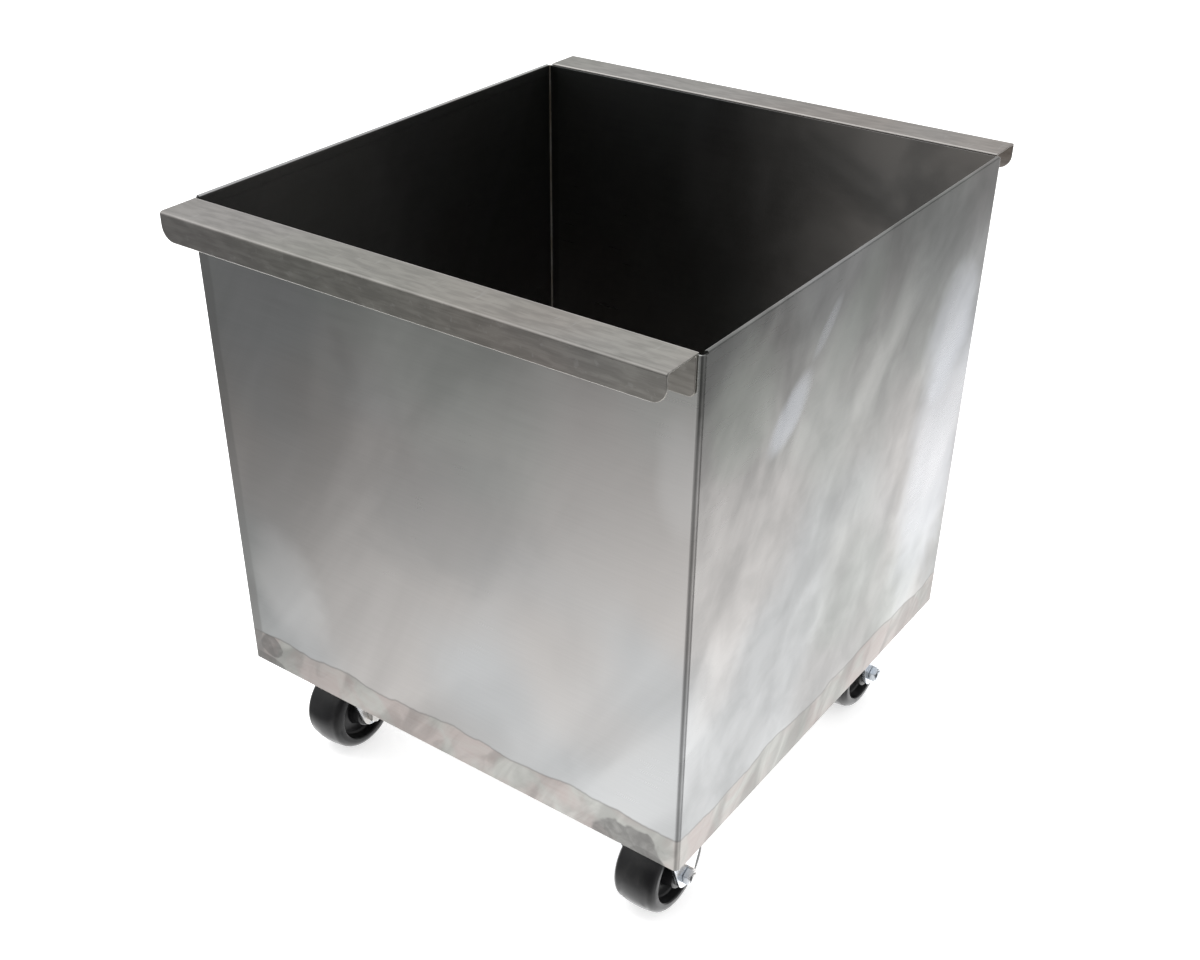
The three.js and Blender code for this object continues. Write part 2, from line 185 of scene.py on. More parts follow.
# ---- shader graph -----------------------------------------------------------
class Shade:
    """A socket of a finish that Python arithmetic turns into Math nodes."""

    def __init__(self, finish, socket):
        self.finish = finish
        self.socket = socket

    def math(self, operation, first, second=0.0):
        return self.finish.node(
            "ShaderNodeMath", {"operation": operation}, {0: first, 1: second})

    def __add__(self, other):
        return self.math("ADD", self, other)

    def __sub__(self, other):
        return self.math("SUBTRACT", self, other)

    def __mul__(self, other):
        return self.math("MULTIPLY", self, other)

    def __rsub__(self, other):
        return self.math("SUBTRACT", other, self)

    def __abs__(self):
        return self.math("ABSOLUTE", self)

    __radd__ = __add__
    __rmul__ = __mul__


class Finish:
    """One material: a metal or plastic whose sockets take values or shades."""

    def __init__(self, name, **settings):
        self.material = bpy.data.materials.new(name)
        self.material.use_nodes = True
        self.tree = self.material.node_tree
        self.surface = self.tree.nodes["Principled BSDF"]
        for socket, value in settings.items():
            self.feed(self.surface.inputs[socket.replace("_", " ")], value)
        self.place = self.node("ShaderNodeTexCoord", {}, {}, "Object")

    def feed(self, socket, value):
        if isinstance(value, Shade):
            self.tree.links.new(value.socket, socket)
        elif hasattr(value, "__len__") and len(value) == 3 and socket.type == "RGBA":
            socket.default_value = (*value, 1)
        else:
            socket.default_value = value

    def node(self, kind, settings, inputs, output=0):
        made = self.tree.nodes.new(kind)
        for name, value in settings.items():
            setattr(made, name, value)
        for key, value in inputs.items():
            self.feed(made.inputs[key], value)
        return Shade(self, made.outputs[output])

    def split(self, vector):
        return [self.node("ShaderNodeSeparateXYZ", {}, {0: vector}, i) for i in range(3)]

    def join(self, x, y, z):
        return self.node("ShaderNodeCombineXYZ", {}, {0: x, 1: y, 2: z})

    def noise(self, vector, scale, detail=3.0, warp=0.0):
        settings = {"noise_dimensions": "3D"}
        inputs = {"Vector": vector, "Scale": scale, "Detail": detail, "Distortion": warp}
        return self.node("ShaderNodeTexNoise", settings, inputs)

    def scaled(self, vector, scale, move=(0, 0, 0)):
        return self.node(
            "ShaderNodeMapping", {}, {"Vector": vector, "Scale": scale, "Location": move})

    def step(self, value, low, high, to_low=0.0, to_high=1.0):
        """Eases from to_low to to_high as value passes from low to high."""
        settings = {"interpolation_type": "SMOOTHSTEP"}
        inputs = {"Value": value, "From Min": low, "From Max": high,
                  "To Min": to_low, "To Max": to_high}
        return self.node("ShaderNodeMapRange", settings, inputs)

    def mix(self, share, first, second, blend="MIX"):
        settings = {"data_type": "RGBA", "blend_type": blend}
        return self.node(
            "ShaderNodeMix", settings, {"Factor": share, 6: first, 7: second}, 2)

    def times(self, colour, shade):
        """A colour dimmed or lifted by a plain value."""
        return self.mix(1.0, colour, self.join(shade, shade, shade), "MULTIPLY")

    def bump(self, height, strength, depth):
        inputs = {"Strength": strength, "Distance": depth, "Height": height}
        return self.node("ShaderNodeBump", {}, inputs)

    def set(self, **values):
        for socket, value in values.items():
            self.feed(self.surface.inputs[socket.replace("_", " ")], value)
        return self.material


WARM_STEEL = (0.56, 0.54, 0.525)
COOL_STEEL = (0.535, 0.543, 0.547)
GREEN_STEEL = (0.525, 0.55, 0.525)
GROUND_STEEL = (0.55, 0.485, 0.46)
GROUND_PALE = (0.575, 0.575, 0.54)
DARK_SCALE = (0.2, 0.195, 0.19)
GROUND_WELD = (0.27, 0.265, 0.26)
BRIGHT_STEEL = (0.66, 0.66, 0.65)
# bluish painted highlight on the right wall
PAINTED_HIGHLIGHT_STEEL = (0.71, 0.74, 0.80)
# darker greenish patches high on the right wall
GREENISH_DARK_STEEL = (0.36, 0.395, 0.355)
# paler patches on the front wall
PALE_STEEL = (0.75, 0.745, 0.735)
# darker patches on the front wall
DARK_PATCH_STEEL = (0.33, 0.335, 0.335)
FILM_TONE = (0.46, 0.43, 0.40)
LIP_TONE = (0.66, 0.625, 0.595)
# painted highlight for the lips' bends and cut edges
LIP_EDGE_HIGHLIGHT = (0.92, 0.89, 0.86)
WELD_STEEL = (0.62, 0.60, 0.57)
STRAW_STEEL = (0.50, 0.44, 0.36)
COOL_ZINC = (0.86, 0.9, 0.95)
WARM_ZINC = (0.93, 0.9, 0.87)
BLACK_PLASTIC = (0.012, 0.012, 0.013)
DUSTY_PLASTIC = (0.045, 0.044, 0.043)
SCUFFED_PLASTIC = (0.07, 0.069, 0.068)
CLOUD_LEAN = math.radians(56)


def stainless(name, grain, clouds=1.0, base_roughness=0.34, grain_depth=0.02):
    """Mill-finish stainless: fine grain, soft rolling clouds and wiped smears.

    grain stretches the fine grain: the small number lies along the brushing.
    """
    finish = Finish(name, Metallic=1.0)
    x, y, z = finish.split(finish.place)
    round_walls = x + y
    across = round_walls * math.sin(CLOUD_LEAN) - z * math.cos(CLOUD_LEAN)
    upward = round_walls * math.cos(CLOUD_LEAN) + z * math.sin(CLOUD_LEAN)
    streaked = finish.join(across * 5.5, upward * 1.25, (x - y) * 0.6)
    cloud = finish.step(finish.noise(streaked, 1.0, 4.0, 0.6), 0.34, 0.68)
    tint = finish.step(finish.noise(finish.place, 3.1, 2.0), 0.42, 0.6)
    elsewhere = finish.scaled(finish.place, (2, 2, 2), (4, 1, 7))
    green = finish.step(finish.noise(elsewhere, 1.3), 0.48, 0.66)
    grey = finish.mix(tint, WARM_STEEL, COOL_STEEL)
    grey = finish.mix(green * 0.7, grey, GREEN_STEEL)
    shade = finish.step(cloud, 0.0, 1.0, 1.0 - 0.22 * clouds, 1.0)
    grain_noise = finish.noise(finish.scaled(finish.place, grain), 1.0, 3.0)
    fine = finish.step(grain_noise, 0.25, 0.75, 1.0 - grain_depth, 1.0 + grain_depth)
    colour = finish.times(grey, shade * fine)
    smeared = finish.scaled(finish.place, (9, 9, 4), (2, 5, 1))
    smear = finish.step(finish.noise(smeared, 1.0, 3.0, 0.2), 0.5, 0.8)
    roughness = base_roughness + smear * 0.07 - cloud * 0.05 * clouds + grain_noise * 0.06
    return finish, colour, roughness, grain_noise, round_walls, z


def finished(finish, colour, roughness, height, strength=0.18, depth=0.05 * MM):
    normal = finish.bump(height, strength, depth)
    return finish.set(Base_Color=colour, Roughness=roughness, Normal=normal)


def lip_steel():
    """Dull and warm, brushed lengthwise, with mottled handling marks and painted highlights on its
    bends and cut edges.
    """
    grain = (7, 900, 900)
    finish, colour, roughness, height, _, _ = stainless(
        "brushed_lip_steel", grain, 0.4, 0.36, 0.05)
    colour = finish.mix(1.0, colour, LIP_TONE, "MULTIPLY")
    marks = finish.noise(finish.scaled(finish.place, (40, 170, 170)), 1.0, 6.0, 0.2)
    mottled = finish.step(marks, 0.35, 0.65, 0.86, 1.08)
    colour = finish.times(colour, mottled)
    rubbed = finish.noise(finish.scaled(finish.place, (150, 30, 150)), 1.0, 4.0, 0.5)
    worn = finish.step(rubbed, 0.62, 0.72)
    colour = finish.mix(worn * 0.15, colour, BRIGHT_STEEL)
    # painted highlight along the lip's bends and cut edges
    colour = finish.mix(painted_lip_highlights(finish), colour, LIP_EDGE_HIGHLIGHT)
    return finished(finish, colour, roughness + worn * 0.05, height + marks * 0.4, 0.25)


def painted_lip_highlights(finish):
    """Painted highlights on a lip: along its outer bend, its inner round and the cut edge of its drop.
    """
    _, y, z = finish.split(finish.place)
    from_outer = -LIP_OUTER_Y - abs(y)
    from_inner = abs(y) - WALL_Y + SHEET
    bend = finish.step(from_outer + RIM_Z - z, 0.75 * LIP_BEND, 0.5 * LIP_BEND)
    inner = finish.step(from_inner, 1.6 * LIP_INNER_ROUND, 0.6 * LIP_INNER_ROUND)
    cut = finish.step(z, RIM_Z - LIP_DROP + 2 * EDGE, RIM_Z - LIP_DROP + EDGE)
    cut = cut * finish.step(from_outer, 2 * SHEET, 1.2 * SHEET)
    return bend * 0.3 + inner * finish.step(z, RIM_Z - SHEET, RIM_Z) * 0.7 + cut * 0.9


def ground_band(finish, colour, roughness, run, above_floor):
    """Wavy band that was ground and wiped over the bottom welds."""
    wave = finish.noise(finish.join(run, 0.0, 0.0), 9.0, 6.0, 0.3)
    over = above_floor - BAND_HEIGHT - (wave - 0.5) * BAND_WAVE
    band = finish.step(over, BAND_EDGE, -BAND_EDGE)
    brushed = finish.noise(finish.scaled(finish.place, (24, 24, 300)), 1.0, 4.0, 0.4)
    blotch = finish.step(finish.noise(finish.place, 14.0, 4.0, 1.0), 0.38, 0.62)
    ground = finish.mix(blotch, GROUND_STEEL, GROUND_PALE)
    ground = finish.mix(finish.step(brushed, 0.35, 0.7) * 0.2, ground, BRIGHT_STEEL)
    leaning = finish.join(run * 26.0 - above_floor * 17.0, above_floor * 12.0, 0.0)
    dull = finish.step(finish.noise(leaning, 1.0, 5.0, 0.8), 0.42, 0.64, 0.92, 0.66)
    ground = finish.times(ground, dull)
    colour = finish.mix(band * 0.9, colour, ground)
    line = finish.step(abs(over), 2.6 * BAND_EDGE, 0.0)
    colour = finish.mix(line * 0.5, colour, DARK_SCALE)
    return colour, roughness + band * 0.05, band * brushed


def heat_patch(finish, patch, across, above_floor):
    """Ragged dark scale that a weld behind the sheet has left."""
    centre_x, centre_z, half_x, half_z, depth = patch
    ragged = finish.noise(finish.place, 40.0, 2.5, 0.3)
    far_x = (across - centre_x) * (1 / half_x)
    far_z = (above_floor - centre_z) * (1 / half_z)
    far = far_x * far_x + far_z * far_z + (ragged - 0.5) * 1.7
    uneven = finish.step(finish.noise(finish.place, 75.0, 5.0, 1.0), 0.3, 0.7, 0.62, 1.0)
    return finish.step(far, 1.1, 0.85) * uneven * depth


def leaning_patch(finish, patch, along, height):
    """Long soft mask of a leaning patch: the painted highlights and the paler and darker patches."""
    centre_y, centre_z, half_across, half_along, lean, amount = patch
    turn = math.radians(lean)
    from_y, from_z = along - centre_y, height - centre_z
    across = (from_y * math.cos(turn) - from_z * math.sin(turn)) * (1 / half_across)
    onward = (from_y * math.sin(turn) + from_z * math.cos(turn)) * (1 / half_along)
    ragged = finish.noise(finish.scaled(finish.place, (12, 12, 12)), 1.0, 5.0, 0.8)
    far = across * across + onward * onward + (ragged - 0.5) * 1.3
    return finish.step(far, 1.3, 0.15) * amount


def wall_steel():
    """Wall sheet: ground bottom band, weld strip, paler and darker patches, painted highlights and
    painted shade on the right wall, painted shade and a dull film inside.
    """
    grain = (14, 14, 500)
    finish, colour, roughness, height, run, z = stainless("wall_steel", grain, 1.0, 0.3)
    x, y, _ = finish.split(finish.place)
    on_right = finish.step(x, WALL_X - 1.5 * SHEET, WALL_X - SHEET)
    streaks = finish.join(y * 8.0 - z * 5.5, y * 2.4 + z * 3.0, 0.5)
    streak = finish.step(finish.noise(streaks, 1.0, 7.0, 0.7), 0.34, 0.66)
    mottle = finish.step(finish.noise(finish.place, 24.0, 7.0, 0.4), 0.3, 0.7, 0.86, 1.04)
    # right wall: streaky clouds of the finish, deepened towards the top as painted shade
    high = finish.step(z, 0.52 * RIM_Z, 0.84 * RIM_Z, 0.12, 0.45)
    colour = finish.times(colour, 1 - on_right * high * (1 - streak))
    colour = finish.mix(on_right, colour, finish.times(colour, mottle))
    # painted shade: the right wall darkened below its rim
    painted_rim_shade = finish.step(z, 0.76 * RIM_Z, 0.97 * RIM_Z, 0.0, 0.5)
    colour = finish.times(colour, 1 - on_right * painted_rim_shade)
    # darker greenish patches high on the right wall
    for patch in RIGHT_DARK_PATCHES:
        mask = leaning_patch(finish, patch, y, z) * on_right
        colour = finish.mix(mask, colour, GREENISH_DARK_STEEL)
    # painted highlights on the right wall, bluish and a little glossier
    for patch in RIGHT_PAINTED_HIGHLIGHTS:
        mask = leaning_patch(finish, patch, y, z) * on_right
        colour = finish.mix(mask, colour, PAINTED_HIGHLIGHT_STEEL)
        roughness = roughness - mask * 0.05
    front = finish.step(y, -WALL_Y + 2 * SHEET, -WALL_Y + SHEET)
    # paler patches on the front wall
    for patch in FRONT_PALE_PATCHES:
        mask = leaning_patch(finish, patch, x, z) * front
        colour = finish.mix(mask, colour, PALE_STEEL)
    # darker patches on the front wall
    for patch in FRONT_DARK_PATCHES:
        mask = leaning_patch(finish, patch, x, z) * front
        colour = finish.mix(mask, colour, DARK_PATCH_STEEL)
    above_floor = z - FLOOR_Z
    colour, roughness, brushed = ground_band(finish, colour, roughness, run, above_floor)
    for patch in HEAT_PATCHES:
        mask = heat_patch(finish, patch, x, above_floor) * front
        colour = finish.mix(mask, colour, DARK_SCALE)
        roughness = roughness + mask * 0.06
    ragged = finish.noise(finish.scaled(finish.place, (11, 11, 11)), 1.0, 4.0)
    weld_side = x + WALL_X + (ragged - 0.5) * STRIP_WAVE
    strip = finish.step(weld_side, STRIP_WIDTH, 0.75 * STRIP_WIDTH)
    lower = finish.step(z, 0.38 * RIM_Z, 0.34 * RIM_Z, 0.34, 0.6)
    colour = finish.mix(strip * lower, colour, GROUND_WELD)
    colour, metal = inside_shade_and_film(finish, colour, x, y, z)
    finish.set(Metallic=metal)
    return finished(finish, colour, roughness, height + brushed * 2.0, 0.035)


def inside_shade_and_film(finish, colour, x, y, z):
    """Painted shade darkening every inner face, and a dull warm film on them, thicker towards the right
    rear.
    """
    inside_x = finish.step(abs(x), WALL_X - 0.8 * SHEET, WALL_X - SHEET)
    inside_y = finish.step(abs(y), WALL_Y - 0.8 * SHEET, WALL_Y - SHEET)
    inside = inside_x * inside_y * finish.step(z, RIM_Z, RIM_Z - 2 * SHEET)
    smudge = finish.step(finish.noise(finish.place, 9.0, 5.0, 1.0), 0.3, 0.7, 0.6, 1.0)
    at_rear = finish.step(y, 0.0, WALL_Y - SHEET)
    film = inside * at_rear * finish.step(x, -0.2 * WALL_X, 0.8 * WALL_X, 0.0, 0.6) * smudge
    # painted shade: every inner face darkened
    colour = finish.times(colour, 1 - inside * 0.42)
    return finish.mix(film, colour, FILM_TONE), 1 - film


def pan_steel():
    """Steel of the floor tray, brushed from front to rear."""
    finish, colour, roughness, height, _, _ = stainless(
        "pan_steel", (700, 14, 14), 0.8, 0.36)
    return finished(finish, colour, roughness, height)


def weld_steel():
    """Weld bead with a straw heat tint along its ripples."""
    finish = Finish("weld_bead", Metallic=1.0)
    ripple = finish.noise(finish.place, 260.0, 2.0)
    heat = finish.step(finish.noise(finish.place, 22.0, 3.0), 0.4, 0.62)
    colour = finish.mix(heat, WELD_STEEL, STRAW_STEEL)
    return finished(finish, colour, 0.3 + ripple * 0.15, ripple, 0.3, 0.1 * MM)


def zinc(name, tone, roughness):
    """Bright zinc plate: pale, faintly blue, with a fine crystalline mottle."""
    finish = Finish(name, Metallic=1.0)
    mottle = finish.noise(finish.place, 170.0, 4.0, 0.5)
    pass_tint = finish.step(finish.noise(finish.place, 28.0, 3.0, 1.0), 0.42, 0.62)
    cool = [tone * v for v in COOL_ZINC]
    warm = [tone * v for v in WARM_ZINC]
    colour = finish.mix(pass_tint, cool, warm)
    dust = finish.step(finish.noise(finish.place, 75.0, 4.0, 0.3), 0.6, 0.85)
    colour = finish.mix(dust * 0.2, colour, GROUND_WELD)
    rough = roughness + mottle * 0.12 + dust * 0.15
    return finished(finish, colour, rough, mottle, 0.25, 0.08 * MM)


def wheel_plastic():
    """Hard black wheel: moulded sheen, turned rings on its tread and dust."""
    finish = Finish("wheel_plastic", Metallic=0.0, Specular_IOR_Level=0.4)
    scuffed = finish.noise(finish.scaled(finish.place, (90, 30, 30)), 1.0, 5.0, 1.0)
    scuff = finish.step(scuffed, 0.5, 0.75)
    dust = finish.step(finish.noise(finish.place, 34.0, 4.0, 0.6), 0.5, 0.8)
    colour = finish.mix(dust * 0.5, BLACK_PLASTIC, DUSTY_PLASTIC)
    colour = finish.mix(scuff * 0.25, colour, SCUFFED_PLASTIC)
    pebble = finish.noise(finish.place, 900.0, 2.0)
    rings = finish.noise(finish.scaled(finish.place, (1500, 6, 6)), 1.0, 1.0)
    rough = 0.27 + scuff * 0.22 + dust * 0.14 + pebble * 0.05
    return finished(finish, colour, rough, pebble * 0.5 + rings * 0.5 + scuff * 0.3, 0.3, 0.08 * MM)


# ---- mesh helpers -----------------------------------------------------------
def rounded(corners, steps=6):
    """Closed outline through (x, y, radius) corners, each turned on its radius."""
    outline = []
    for i, (x, y, radius) in enumerate(corners):
        here = Vector((x, y))
        if not radius:
            outline.append(here)
            continue
        before = (Vector(corners[i - 1][:2]) - here).normalized()
        after = (Vector(corners[(i + 1) % len(corners)][:2]) - here).normalized()
        half = before.angle(after) / 2
        centre = here + (before + after).normalized() * (radius / math.sin(half))
        start = here + before * (radius / math.tan(half)) - centre
        end = here + after * (radius / math.tan(half)) - centre
        turn = math.atan2(start.x * end.y - start.y * end.x, start.dot(end))
        for step in range(steps + 1):
            outline.append(centre + Matrix.Rotation(turn * step / steps, 2) @ start)
    return outline


def rounded_plate(x, y, corner, steps=6):
    """Rectangle of half sizes x and y with round corners."""
    return rounded([(-x, -y, corner), (x, -y, corner), (x, y, corner), (-x, y, corner)], steps)


def upright(u, v, w):
    return (u, v, w)


def along_x(u, v, w):
    return (w, u, v)


def along_y(u, v, w):
    return (u, w, v)


def skinned(rings, closed):
    """Quads between rings of places; open ends get a cap, closed ones none."""
    bm = bmesh.new()
    loops = [[bm.verts.new(place) for place in ring] for ring in rings]
    pairs = list(zip(loops, loops[1:]))
    if closed:
        pairs.append((loops[-1], loops[0]))
    for one, other in pairs:
        for i in range(len(one)):
            bm.faces.new((one[i - 1], one[i], other[i], other[i - 1]))
    if not closed:
        bm.faces.new(loops[0])
        bm.faces.new(loops[-1])
    bmesh.ops.remove_doubles(bm, verts=bm.verts, dist=1e-7)
    bmesh.ops.recalc_face_normals(bm, faces=bm.faces)
    return bm


def prism(outline, low, high, lay=upright):
    return skinned([[lay(u, v, w) for u, v in outline] for w in (low, high)], False)


def turned(profile, segments, lay=upright, closed=False):
    """Solid of revolution of a (radius, along) profile about its own axis."""
    rings = []
    for radius, along in profile:
        angles = [2 * math.pi * i / segments for i in range(segments)]
        rings.append([lay(radius * math.cos(a), radius * math.sin(a), along) for a in angles])
    return skinned(rings, closed)


def moved(bm, x=0.0, y=0.0, z=0.0):
    bmesh.ops.translate(bm, verts=bm.verts, vec=(x, y, z))
    return bm


def merged(*parts):
    """Several solids as one mesh."""
    whole = bmesh.new()
    for part in parts:
        mesh = bpy.data.meshes.new("part")
        part.to_mesh(mesh)
        part.free()
        whole.from_mesh(mesh)
        bpy.data.meshes.remove(mesh)
    return whole


def scratch(bm):
    """A bare object of a solid, for booleans and instances."""
    mesh = bpy.data.meshes.new("scratch")
    bm.to_mesh(mesh)
    bm.free()
    obj = bpy.data.objects.new("scratch", mesh)
    bpy.context.scene.collection.objects.link(obj)
    return obj


def baked(obj):
    """The evaluated mesh of an object, which is then removed."""
    bpy.context.view_layer.update()
    graph = bpy.context.evaluated_depsgraph_get()
    mesh = bpy.data.meshes.new_from_object(obj.evaluated_get(graph))
    drop(obj)
    return mesh


def drop(obj):
    mesh = obj.data
    bpy.data.objects.remove(obj)
    bpy.data.meshes.remove(mesh)


def carved(bm, other, operation):
    """Joins two solids, or cuts one with the other."""
    body, tool = scratch(bm), scratch(other)
    modifier = body.modifiers.new("carve", "BOOLEAN")
    modifier.operation = operation
    modifier.solver = "EXACT"
    modifier.object = tool
    mesh = baked(body)
    drop(tool)
    result = bmesh.new()
    result.from_mesh(mesh)
    bpy.data.meshes.remove(mesh)
    bmesh.ops.remove_doubles(result, verts=result.verts, dist=1e-6)
    bmesh.ops.dissolve_limit(
        result, angle_limit=FLAT_TURN, verts=result.verts, edges=result.edges)
    return result


def dull_edges(obj, width, steps):
    bevel = obj.modifiers.new("dulled edges", "BEVEL")
    bevel.width = width
    bevel.segments = steps
    bevel.limit_method = "ANGLE"
    bevel.angle_limit = SHARP_TURN
    bevel.use_clamp_overlap = True
    bevel.harden_normals = True


def piece(name, mesh, material, nodes, body="tote", edge=0.0, steps=2):
    """A finished piece on its body, standing for the CAD nodes that it replaces."""
    if isinstance(mesh, bmesh.types.BMesh):
        bm, mesh = mesh, bpy.data.meshes.new(name)
        bm.to_mesh(mesh)
        bm.free()
    mesh.name = name
    mesh.materials.clear()
    mesh.materials.append(material)
    mesh.shade_smooth()
    mesh.set_sharp_from_angle(angle=SHARP_TURN)
    obj = bpy.data.objects.new(name, mesh)
    bpy.context.scene.collection.objects.link(obj)
    if edge:
        dull_edges(obj, edge, steps)
    flats = obj.modifiers.new("true flats", "WEIGHTED_NORMAL")
    flats.mode = "FACE_AREA"
    flats.weight = 100
    flats.keep_sharp = True
    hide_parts(*nodes)
    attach(obj, body)
    return obj


# ---- tote body --------------------------------------------------------------
def hem(inner_x, outer_x):
    """Folded safe edge of a side rim, its fold rounded over."""
    low, high = sorted((inner_x, outer_x))
    corners = [(low, RIM_Z - HEM_HEIGHT, 0), (high, RIM_Z - HEM_HEIGHT, 0),
               (high, RIM_Z, HEM_ROUND), (low, RIM_Z, HEM_ROUND)]
    reach = WALL_Y - CORNER_RADIUS - SHEET
    return prism(rounded(corners), -reach, reach, along_y)


def body_wrap():
    inner = CORNER_RADIUS - SHEET
    plan = rounded([
        (-WALL_X, -WALL_Y, 0), (WALL_X, -WALL_Y, CORNER_RADIUS),
        (WALL_X, WALL_Y, CORNER_RADIUS), (-WALL_X, WALL_Y, 0),
        (-WALL_X, WALL_Y - SHEET, 0), (WALL_X - SHEET, WALL_Y - SHEET, inner),
        (WALL_X - SHEET, -WALL_Y + SHEET, inner), (-WALL_X, -WALL_Y + SHEET, 0),
    ], 8)
    walls = prism(plan, FLOOR_Z, WALL_TOP_Z)
    return carved(walls, hem(WALL_X - 2 * SHEET, WALL_X), "UNION")


def left_side_panel():
    reach = WALL_Y - SHEET
    flat = [(-WALL_X, -reach), (-WALL_X + SHEET, -reach), (-WALL_X + SHEET, reach), (-WALL_X, reach)]
    panel = prism(flat, FLOOR_Z, WALL_TOP_Z)
    folded = scratch(carved(panel, hem(-WALL_X, -WALL_X + 2 * SHEET), "UNION"))
    dull_edges(folded, EDGE, 2)
    mesh = baked(folded)
    for vertex in mesh.vertices:
        vertex.co.x = max(vertex.co.x, -WALL_X)
    return mesh


def caster_places():
    for label in LABELS:
        side = 1 if label.endswith("right") else -1
        row = 1 if label.startswith("rear") else -1
        yield label, side * CASTER_X, row * CASTER_Y, side


def bolt_places():
    return [(x, y) for y in (-BOLT_Y, BOLT_Y) for x in (-BOLT_X, BOLT_X)]


def tray_ring(inset, z):
    corner = max(CORNER_RADIUS - SHEET - inset, 0.5 * MM)
    outline = rounded_plate(PAN_X - inset, PAN_Y - inset, corner, 5)
    return [(u, v, z) for u, v in outline]


def floor_pan():
    """Tray bent up along its four sides, drilled for the caster bolts."""
    steps = 5
    rings = []
    for i in range(steps + 1):
        turn = math.pi / 2 * i / steps
        inset = PAN_BEND * (1 - math.sin(turn))
        rings.append(tray_ring(inset, FLOOR_Z + PAN_BEND * (1 - math.cos(turn))))
    rings.append(tray_ring(0, PAN_TOP_Z))
    rings.append(tray_ring(SHEET, PAN_TOP_Z))
    inner = PAN_BEND - SHEET
    for i in range(steps, -1, -1):
        turn = math.pi / 2 * i / steps
        inset = SHEET + inner * (1 - math.sin(turn))
        rings.append(tray_ring(inset, FLOOR_Z + SHEET + inner * (1 - math.cos(turn))))
    pan = skinned(rings, False)
    drill = MOUNT_RADIUS + HOLE_CLEARANCE
    holes = []
    for _, x, y, _ in caster_places():
        for bolt_x, bolt_y in bolt_places():
            hole = shank(drill, FLOOR_Z - SHEET, FLOOR_Z + 2 * SHEET)
            holes.append(moved(hole, x + bolt_x, y + bolt_y))
    return carved(pan, merged(*holes), "DIFFERENCE")


# ---- carrying lips ----------------------------------------------------------
def corner_cutter(side, radius, bottom, low, high):
    """What rounds one lower corner of a flange, between two places along Y."""
    end = side * LIP_HALF
    points = [(end + side * PAST, bottom + radius), (end, bottom + radius)]
    steps = 12
    for i in range(1, steps + 1):
        turn = math.pi / 2 * i / steps
        points.append((end - side * radius * (1 - math.cos(turn)),
                       bottom + radius * (1 - math.sin(turn))))
    points += [(end - side * radius, bottom - PAST), (end + side * PAST, bottom - PAST)]
    return prism(points, low, high, along_y)


def front_lip():
    leg = -WALL_Y - GAP
    cap = -WALL_Y + SHEET
    top = RIM_Z - SHEET
    section = rounded([
        (leg, top, 0), (cap, top, 0), (cap, RIM_Z, LIP_INNER_ROUND),
        (LIP_OUTER_Y, RIM_Z, LIP_BEND), (LIP_OUTER_Y, RIM_Z - LIP_DROP, 0),
        (LIP_OUTER_Y + SHEET, RIM_Z - LIP_DROP, 0), (LIP_OUTER_Y + SHEET, top, LIP_BEND - SHEET),
        (leg - SHEET, top, LIP_BEND - SHEET), (leg - SHEET, LIP_LEG_Z, 0), (leg, LIP_LEG_Z, 0),
    ])
    lip = prism(section, -LIP_HALF, LIP_HALF, along_x)
    middle = (leg + LIP_OUTER_Y) / 2
    cutters = []
    for side in (-1, 1):
        cutters.append(corner_cutter(
            side, LIP_CORNER, RIM_Z - LIP_DROP, LIP_OUTER_Y - PAST, middle))
        cutters.append(corner_cutter(side, LEG_CORNER, LIP_LEG_Z, middle + PAST, leg + PAST))
    return carved(lip, merged(*cutters), "DIFFERENCE")


# ---- casters ----------------------------------------------------------------
def leg_outline():
    """Fork leg in (y, z): a round tip on the axle, edges widening to the plate."""
    top = PLATE_TOP_Z - PLATE_THICKNESS / 2
    lean = math.atan(LEG_TAPER)
    edge_y = LEG_TIP_RADIUS * math.cos(lean)
    edge_z = AXLE_Z - LEG_TIP_RADIUS * math.sin(lean)
    reach = min(edge_y + (top - edge_z) * LEG_TAPER, PLATE_Y)
    steps = 20
    points = [(-reach, top)]
    for i in range(steps + 1):
        turn = math.pi + lean + (math.pi - 2 * lean) * i / steps
        points.append((LEG_TIP_RADIUS * math.cos(turn), AXLE_Z + LEG_TIP_RADIUS * math.sin(turn)))
    points.append((reach, top))
    return points


def caster_frame():
    bottom = PLATE_TOP_Z - PLATE_THICKNESS
    whole = prism(rounded_plate(PLATE_X, PLATE_Y, PLATE_CORNER), bottom, PLATE_TOP_Z)
    reach = PLATE_Y - 2 * PLATE_CORNER
    for side in (-1, 1):
        low, high = sorted((side * LEG_INNER_X, side * LEG_OUTER_X))
        whole = carved(whole, prism(leg_outline(), low, high, along_x), "UNION")
        fillet = [(side * (LEG_OUTER_X - EDGE), bottom + EDGE)]
        for i in range(7):
            turn = math.pi / 2 * i / 6
            fillet.append((side * (LEG_OUTER_X + LEG_FILLET * (1 - math.cos(turn))),
                           bottom - LEG_FILLET * (1 - math.sin(turn))))
        fillet.append((side * (LEG_OUTER_X + LEG_FILLET), bottom + EDGE))
        whole = carved(whole, prism(fillet, -reach, reach, along_y), "UNION")
    drills = []
    for x, y in bolt_places():
        hole = shank(MOUNT_RADIUS + HOLE_CLEARANCE, bottom - SHEET, PLATE_TOP_Z + SHEET)
        drills.append(moved(hole, x, y))
    drill = AXLE_RADIUS + GAP
    profile = [(0, -PLATE_X), (drill, -PLATE_X), (drill, PLATE_X), (0, PLATE_X)]
    drills.append(moved(turned(profile, BORE_SEGMENTS, along_x), z=AXLE_Z))
    return carved(whole, merged(*drills), "DIFFERENCE")


